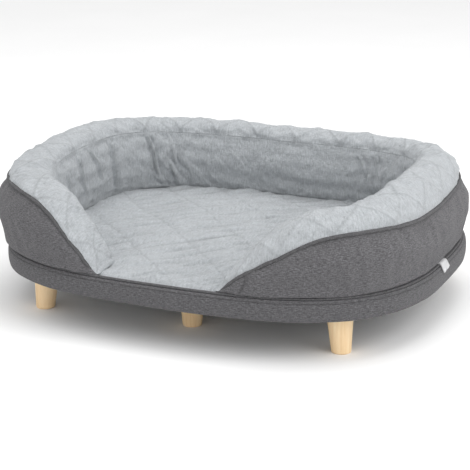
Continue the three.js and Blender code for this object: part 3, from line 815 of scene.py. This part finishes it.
def build_welt(e):
    """The cord sewn between the dark and the plush cloth, ending where an arm meets the frame."""
    e = e[(e > WELT_MARGIN) & (e < PATH - WELT_MARGIN)]
    crease = bolster_panel(e, "outer", np.array([0.93, 1.0]))
    above = bolster_panel(e, "top", np.array([0.0, 0.08]))
    along = np.gradient(crease[:, 1], axis=0)
    along /= np.linalg.norm(along, axis=1, keepdims=True)
    up = above[:, 1] - crease[:, 0]
    up -= along * (up * along).sum(1, keepdims=True)
    up /= np.maximum(np.linalg.norm(up, axis=1, keepdims=True), 1e-9)
    out = np.cross(along, up)
    wobble = waves(crease[:, 1], 0.05, 31) * 0.0005
    tip = section_heights(e)[0]
    radius = WELT_RADIUS * (0.45 + 0.55 * smooth(tip / 0.03))
    centre = crease[:, 1] + out * (WELT_OUT * smooth(tip / 0.02))[:, None] + up * wobble[:, None]
    points = tube_points(centre, out, up, radius, WELT_SIDES)
    uv = tube_uv(centre, radius, WELT_SIDES)
    # Painted shade: the cord is darkened along its upper and lower sides, where it meets the two
    # cloths, giving two dark lines.
    side = np.abs(np.sin(2 * math.pi * (np.arange(WELT_SIDES) + 0.5) / WELT_SIDES))
    shade = np.broadcast_to(smooth((side - 0.55) / 0.4)[None, :], (len(points) + 2, WELT_SIDES))
    obj = make_object("bolster_welt", tube_mesh("bolster_welt", points, uv, shade), WELT)
    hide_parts("bolster_piping")
    finish_piece(obj, "nest")


def tube_uv(centre, radius, sides):
    """Metres along and round a tube."""
    along = np.concatenate([[0], np.cumsum(np.linalg.norm(np.diff(centre, axis=0), axis=1))])
    round_it = np.arange(sides) / sides * 2 * math.pi * float(np.mean(radius))
    return np.stack(np.broadcast_arrays(along[:, None], round_it[None, :]), axis=-1)


def tube_mesh(name, points, uv, shade=0.0):
    """A tube with closed ends: each end ring is repeated, drawn in to its middle."""
    middle = points.mean(axis=1, keepdims=True)
    drawn = middle + (points - middle) * 0.02
    whole = np.concatenate([drawn[:1], points, drawn[-1:]])
    uv = np.concatenate([uv[:1], uv, uv[-1:]])
    return grid_mesh(name, whole, uv, loop_cols=True, shade=shade)


# ---- pad -------------------------------------------------------------------------------------

def squarish_disc(count_x, count_y):
    """A grid over the unit square drawn in to the unit superellipse."""
    a = np.linspace(-1, 1, count_x)[:, None]
    b = np.linspace(-1, 1, count_y)[None, :]
    a, b = np.broadcast_arrays(a, b)
    m = np.maximum(np.maximum(np.abs(a), np.abs(b)), 1e-9)
    qx, qy = a / m, b / m
    t = (np.abs(qx) ** POWER + np.abs(qy) ** POWER) ** (-1 / POWER)
    return a * t, b * t, m


def outline_inset(x, y):
    """Distance inwards from the outline, close to true near it."""
    fx, fy = np.abs(x) / HALF_LENGTH, np.abs(y) / HALF_DEPTH
    f = np.maximum((fx ** POWER + fy ** POWER) ** (1 / POWER), 1e-6)
    gx = (fx / f) ** (POWER - 1) / HALF_LENGTH
    gy = (fy / f) ** (POWER - 1) / HALF_DEPTH
    return (1 - f) / np.maximum(np.hypot(gx, gy), 1e-6)


def under_bolster(x, y):
    """1 where the bolster sits on the pad, 0 where the pad is free."""
    inset = outline_inset(x - SHIFT_X, y)
    inwards = smooth((FOOT_IN + 0.002 - inset) / 0.006)
    deep = np.clip((inset - FOOT_OUT) / (FOOT_IN - FOOT_OUT), 0, 1)
    short = (LEFT_SHORT + LEFT_SLANT * deep) * (x < SHIFT_X)
    beyond_tip = smooth((TIP_X + short + 0.002 - np.abs(x - SHIFT_X)) / 0.006) * (y < 0)
    return inwards * (1 - beyond_tip)


def build_pad():
    """The quilted, rippled pad, with its rim pressed flat where the bolster stands on it."""
    x, y, share = squarish_disc(*PAD_GRID)
    px = x * (HALF_LENGTH - PAD_INSET)
    py = y * (HALF_DEPTH - PAD_INSET)
    flat = np.stack([px, py], axis=-1)
    crown = PAD_CROWN * smooth((0.74 - share) / 0.5)
    root = math.sqrt(2)
    drift = waves(flat, 0.35, 44) * 0.003
    gap = np.minimum(line_gap((py - px) / root + drift, QUILT_A, 0.0115),
                     line_gap((px + py) / root + drift, QUILT_B, -0.030))
    quilt = pillow(gap, QUILT_ROUND) - QUILT_MEAN
    turned = np.stack([(px + py) / root * 0.16, (py - px) / root], axis=-1)
    ripple = waves(turned, 0.040, 41) * 0.0019 + waves(turned, 0.020, 45) * 0.0014
    sway = waves(flat, 0.20, 42) * 0.0014
    nap = waves(flat, 0.010, 43) * 0.0003
    inside = smooth((0.985 - share) / 0.03)
    free = TOP + 0.0006 + crown + (0.0020 + quilt * QUILT_DEPTH_PAD + ripple + sway) * inside + nap
    free = free - 0.0050 * smooth((share - 0.975) / 0.025)
    pressed = np.minimum(free, TOP + 0.0001)
    under = under_bolster(px, py)
    pz = free + (pressed - free) * under
    top = np.stack([px + MID_X, py + MID_Y, pz], axis=-1)
    # Painted shade: the quilting's stitch lines and the valleys of the ripples are darkened in the
    # colour.
    sewn = 0.55 * np.exp(-(gap / 0.0018) ** 2) * inside * (1 - under)
    sewn = np.clip(sewn + 0.30 * smooth(-ripple / 0.003), 0, 1)
    mesh = grid_mesh("pad_quilted_plush", top, flat, shade=sewn)
    obj = make_object("pad_quilted_plush", mesh, PLUSH)
    add_pad_skirt(obj, top)
    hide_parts("pad_quilted_top", "pad_foam")
    finish_piece(obj, "nest")


def add_pad_skirt(obj, top):
    """Carries the quilted cover's edge down the side of the foam and under it."""
    rows, cols = top.shape[:2]
    edge = ([(i, 0) for i in range(rows)] + [(rows - 1, j) for j in range(1, cols)]
            + [(i, cols - 1) for i in range(rows - 2, -1, -1)]
            + [(0, j) for j in range(cols - 2, 0, -1)])
    bm = bmesh.new()
    bm.from_mesh(obj.data)
    bm.verts.ensure_lookup_table()
    ring = [bm.verts[i * cols + j] for i, j in edge]
    layer = bm.loops.layers.uv.active
    bottom = BOARD_TOP + 0.0029
    for depth in (0.004, 0.014, 0.024, None):
        z = bottom if depth is None else TOP - 0.004 - depth
        lower = [bm.verts.new((v.co.x, v.co.y, z)) for v in ring]
        for k, v in enumerate(ring):
            w = (k + 1) % len(ring)
            face = bm.faces.new((ring[w], v, lower[k], lower[w]))
            for loop in face.loops:
                loop[layer].uv = (k * 0.005, loop.vert.co.z)
        ring = lower
    bm.faces.new(ring)
    bmesh.ops.recalc_face_normals(bm, faces=bm.faces)
    bm.to_mesh(obj.data)
    bm.free()
    obj.data.shade_smooth()


# ---- frame -----------------------------------------------------------------------------------

def band_profile():
    """The cloth band's closed section as [inset, height], from under the board edge outwards."""
    b, t = BAND_BOTTOM, TOP
    rise = np.linspace(0.0025, 0.0434, 40)
    groove = 0.0009 * np.exp(-((rise - 0.0375) / 0.0011) ** 2)
    face = np.stack([curve_value(BAND_FACE, rise) + groove, rise + b], axis=-1)
    under = [(0.022, b), (0.0060, b), (0.0032, b + 0.0003), (0.0014, b + 0.0012)]
    channel = [(0.0062, t - 0.0050), (0.0085, t - 0.0052), (0.0112, t - 0.0050)]
    lip = [(0.0119, t - 0.0012), (0.0128, t - 0.0006), (0.0138, t - 0.0007), (0.0146, t - 0.0018)]
    inner = [(0.0146, BOARD_TOP + 0.002), (0.0133, BOARD_TOP + 0.002), (0.0133, t - 0.0065),
             (0.0066, t - 0.0065), (0.0044, t - 0.0086), (0.0026, t - 0.0132),
             (0.0022, b + 0.026), (0.0033, b + 0.001), (0.022, b + 0.001)]
    return np.concatenate([under, face, channel, lip, inner])


def build_band():
    """The dark cloth pulled over the board's edge and the hoop."""
    d = np.linspace(0, PERIMETER, BAND_STATIONS + 1)[:-1]
    profile = band_profile()
    p = on_outline(d, profile[None, :, 0], profile[None, :, 1])
    n = grid_normals(p, loop_rows=True, loop_cols=True)
    face = smooth((0.005 - profile[:, 0]) / 0.003)[None, :]
    near_top = np.exp(-((profile[:, 1] - TOP + 0.0095) / 0.005) ** 2)[None, :]
    loop = np.stack([np.cos(2 * math.pi * d / PERIMETER), np.sin(2 * math.pi * d / PERIMETER)], -1)
    loop = loop * PERIMETER / (2 * math.pi)
    pucker = waves(loop, 0.018, 51)[:, None] * near_top * 0.0005
    sway = waves(loop, 0.16, 52)[:, None] * 0.0007
    sign = 1 if (n[0, 20] @ np.array([0, -1, 0])) > 0 else -1
    p = p + n * (sign * (pucker + sway) * face)[..., None]
    across = np.concatenate([[0], np.cumsum(np.hypot(*np.diff(profile, axis=0).T))])
    uv = np.stack(np.broadcast_arrays(d[:, None], across[None, :]), axis=-1)
    # Painted shade: a dark line in the groove near the band's top, and a general painted shade over
    # the whole outer face.
    shade = 0.8 * np.exp(-((profile[:, 1] - BAND_BOTTOM - 0.0375) / 0.0010) ** 2)[None, :] * face
    shade = np.clip(shade + 0.2 * face, 0, 1)
    mesh = grid_mesh("frame_band_cloth", p, uv, loop_rows=True, loop_cols=True, shade=shade)
    obj = make_object("frame_band_cloth", mesh, DARK)
    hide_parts("frame_band_cover")
    finish_piece(obj, "frame")


def build_frame_piping():
    """The thin cord in the channel of the band's shoulder."""
    d = np.linspace(0, PERIMETER, BAND_STATIONS + 1)[:-1]
    x, y, nx, ny = outline_at(d)
    out = np.stack([nx, ny, np.zeros_like(nx)], axis=-1)
    up = np.broadcast_to(np.array([0.0, 0.0, 1.0]), out.shape)
    inset, drop, radius = 0.0088, 0.0023, 0.0025
    centre = on_outline(d, np.array([[inset]]), TOP - drop)[:, 0]
    points = tube_points(centre, out, up, radius, PIPING_SIDES)
    uv = tube_uv(centre, radius, PIPING_SIDES)
    mesh = grid_mesh("frame_welt", points, uv, loop_rows=True, loop_cols=True)
    obj = make_object("frame_welt", mesh, WELT)
    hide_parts("frame_piping")
    finish_piece(obj, "frame")


def build_legs():
    """Turned tapered legs with a broken edge at the foot, sheared to lean as the CAD legs do."""
    height, foot, head = 0.0836, 0.020, 0.0275
    lean_x, lean_y = 0.065, 0.03
    bore_radius, bore_depth = 0.0045, 0.034
    profile = [(0, 0.0), (0.012, 0.0), (foot - 0.0020, 0.0), (foot - 0.0007, 0.0005),
               (foot - 0.0001, 0.0018), (foot + 0.0002, 0.0035)]
    for i in range(1, 8):
        z = 0.0035 + (height - 0.0060) * i / 8
        profile.append((foot + (head - foot) * z / height, z))
    profile += [(head - 0.0002, height - 0.0018), (head - 0.0012, height - 0.0003),
                (head - 0.0030, height), (bore_radius, height),
                (bore_radius, height - bore_depth), (0, height - bore_depth)]
    a = 2 * math.pi * np.arange(64) / 64
    for name in [n for n in frame["nodes"] if n.startswith("leg_") and n.count("_") == 2]:
        side = {"left": -1, "right": 1, "centre": 0}[name.split("_")[2]]
        depth = {"front": -1, "back": 1}[name.split("_")[1]] if side else 0
        head_x, head_y = box_middle(name.replace("leg_", "leg_plate_"))
        rings = []
        for r, z in profile:
            x = head_x + side * lean_x * (height - z) + r * np.cos(a)
            y = head_y + depth * lean_y * (height - z) + r * np.sin(a)
            rings.append(np.stack([x, y, np.full_like(x, z)], axis=-1))
        mesh = grid_mesh(name + "_turned", np.array(rings), loop_cols=True, flip=True)
        obj = make_object(name + "_turned", mesh, WOOD)
        weld(obj)
        mark_sharp(obj, 50)
        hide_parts(name)
        finish_piece(obj, "frame")


def weld(obj):
    """Joins the points that lie on the axis of a turned piece."""
    bm = bmesh.new()
    bm.from_mesh(obj.data)
    bmesh.ops.remove_doubles(bm, verts=bm.verts, dist=1e-6)
    bmesh.ops.recalc_face_normals(bm, faces=bm.faces)
    bm.to_mesh(obj.data)
    bm.free()


def mark_sharp(obj, degrees):
    obj.data.shade_smooth()
    obj.data.set_sharp_from_angle(angle=math.radians(degrees))


def build_tag():
    """A blank ribbon folded into a loop, lying over the frame's shoulder at the right end."""
    run = [(20, 1.7), (14, 1.7), (9, 1.9), (6.4, 1.9), (4.4, 0.6), (2.4, -2.0), (0.4, -6.0),
           (-1.4, -10.2), (-2.6, -13.4), (-2.9, -14.6), (-2.2, -15.2), (-1.5, -14.2), (-0.2, -10.6),
           (2.2, -5.6), (4.4, -1.8), (6.2, 0.6), (10, 0.8), (20, 0.8)]
    run = np.array(run) / 1000
    half_width, place_y = 0.0195, -0.040
    w = np.linspace(-half_width, half_width, 24)
    right = np.flatnonzero((OUTLINE_X > HALF_LENGTH * 0.9) & (OUTLINE_ARC < PERIMETER / 2))
    at = float(np.interp(place_y, OUTLINE_Y[right], OUTLINE_ARC[right]))
    p = on_outline(at + w, run[None, :, 0], TOP + run[None, :, 1])
    hang = np.clip(-run[None, :, 1] / 0.015, 0, 1)
    p[..., 0] += hang ** 2 * (0.0016 * np.abs(np.sin(w * 150 + 0.6)))[:, None]
    p[..., 2] += hang * (0.0015 * np.sin(w * 90))[:, None]
    mesh = grid_mesh("side_tag_ribbon", p, cloth_uv(p))
    obj = make_object("side_tag_ribbon", mesh, RIBBON)
    thicken(obj, 0.0006, 0)
    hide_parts("side_tag")
    finish_piece(obj, "nest")


def dress_cad():
    """Materials for the CAD nodes that stay."""
    finishes = {"plywood": PLY, "black_cloth": BLACK, "steel": STEEL, "beech": WOOD}
    slots = {s["node"]: s["material_slot"] for s in frame["record"]["subparts"]}
    for name, node in frame["nodes"].items():
        if slots.get(name) in finishes:
            node.data.materials.clear()
            node.data.materials.append(finishes[slots[name]])
            mark_sharp(node, 35)


# ---- room ------------------------------------------------------------------------------------

FLOOR_HALF = 12.0
WORLD_LIGHT = 0.90
# name, place, width in metres, power in watts
LIGHTS = [("key", (-0.2, -2.2, 3.0), 2.0, 11), ("fill", (2.8, -0.6, 2.0), 2.2, 42),
          ("top", (0.2, 0.4, 3.2), 2.6, 42), ("low", (-0.4, -3.2, 0.7), 1.6, 8)]
LIGHT_AIM_HEIGHT = 0.15

CAMERA_AZIMUTH = 23.03      # degrees
CAMERA_ELEVATION = 17.0
CAMERA_DISTANCE = 3.316
CAMERA_AIM_HEIGHT = 0.1314
CAMERA_FOCAL = 1520.9 / 470     # in image widths
CAMERA_SHIFT = (-4.15 / 470, -3.85 / 470)
SENSOR_WIDTH = 36           # millimetres

def build_room():
    """A pale floor and soft light, seen through the plain view transform, so white stays white."""
    mesh = bpy.data.meshes.new("floor")
    half = FLOOR_HALF
    mesh.from_pydata([(-half, -half, 0), (half, -half, 0), (half, half, 0), (-half, half, 0)], [],
                     [(0, 1, 2, 3)])
    floor = make_object("floor", mesh, floor_paint("floor_paint"))
    world = bpy.data.worlds.new("studio")
    bpy.context.scene.world = world
    world.use_nodes = True
    background = world.node_tree.nodes["Background"]
    background.inputs["Color"].default_value = (1, 1, 1, 1)
    background.inputs["Strength"].default_value = WORLD_LIGHT
    for name, place, width, power in LIGHTS:
        add_light(name, place, width, power)
    bpy.context.scene.view_settings.view_transform = "Standard"


def add_light(name, place, width, power):
    data = bpy.data.lights.new(name, "AREA")
    data.shape = "SQUARE"
    data.size = width
    data.energy = power
    light = bpy.data.objects.new(name, data)
    light.location = place
    direction = Vector((MID_X, MID_Y, LIGHT_AIM_HEIGHT)) - Vector(place)
    light.rotation_euler = direction.to_track_quat("-Z", "Y").to_euler()
    bpy.context.scene.collection.objects.link(light)


def build_camera():
    azimuth, elevation = math.radians(CAMERA_AZIMUTH), math.radians(CAMERA_ELEVATION)
    back = Vector((math.sin(azimuth) * math.cos(elevation),
                   -math.cos(azimuth) * math.cos(elevation), math.sin(elevation)))
    data = bpy.data.cameras.new("camera")
    data.sensor_width = SENSOR_WIDTH
    data.lens = CAMERA_FOCAL * SENSOR_WIDTH
    data.shift_x, data.shift_y = CAMERA_SHIFT
    camera = bpy.data.objects.new("camera", data)
    camera.location = Vector((MID_X, MID_Y, CAMERA_AIM_HEIGHT)) + back * CAMERA_DISTANCE
    camera.rotation_mode = "QUATERNION"
    camera.rotation_quaternion = (-back).to_track_quat("-Z", "Y")
    bpy.context.scene.collection.objects.link(camera)
    bpy.context.scene.camera = camera


# ---- build -----------------------------------------------------------------------------------

build_outer(path_stations(BOLSTER_STEP))
build_top(path_stations(PLUSH_STEP))
build_inner(path_stations(PLUSH_STEP))
build_welt(path_stations(BOLSTER_STEP))
build_base(path_stations(BASE_STEP))
build_pad()
build_band()
build_frame_piping()
build_legs()
build_tag()
dress_cad()
build_room()
build_camera()
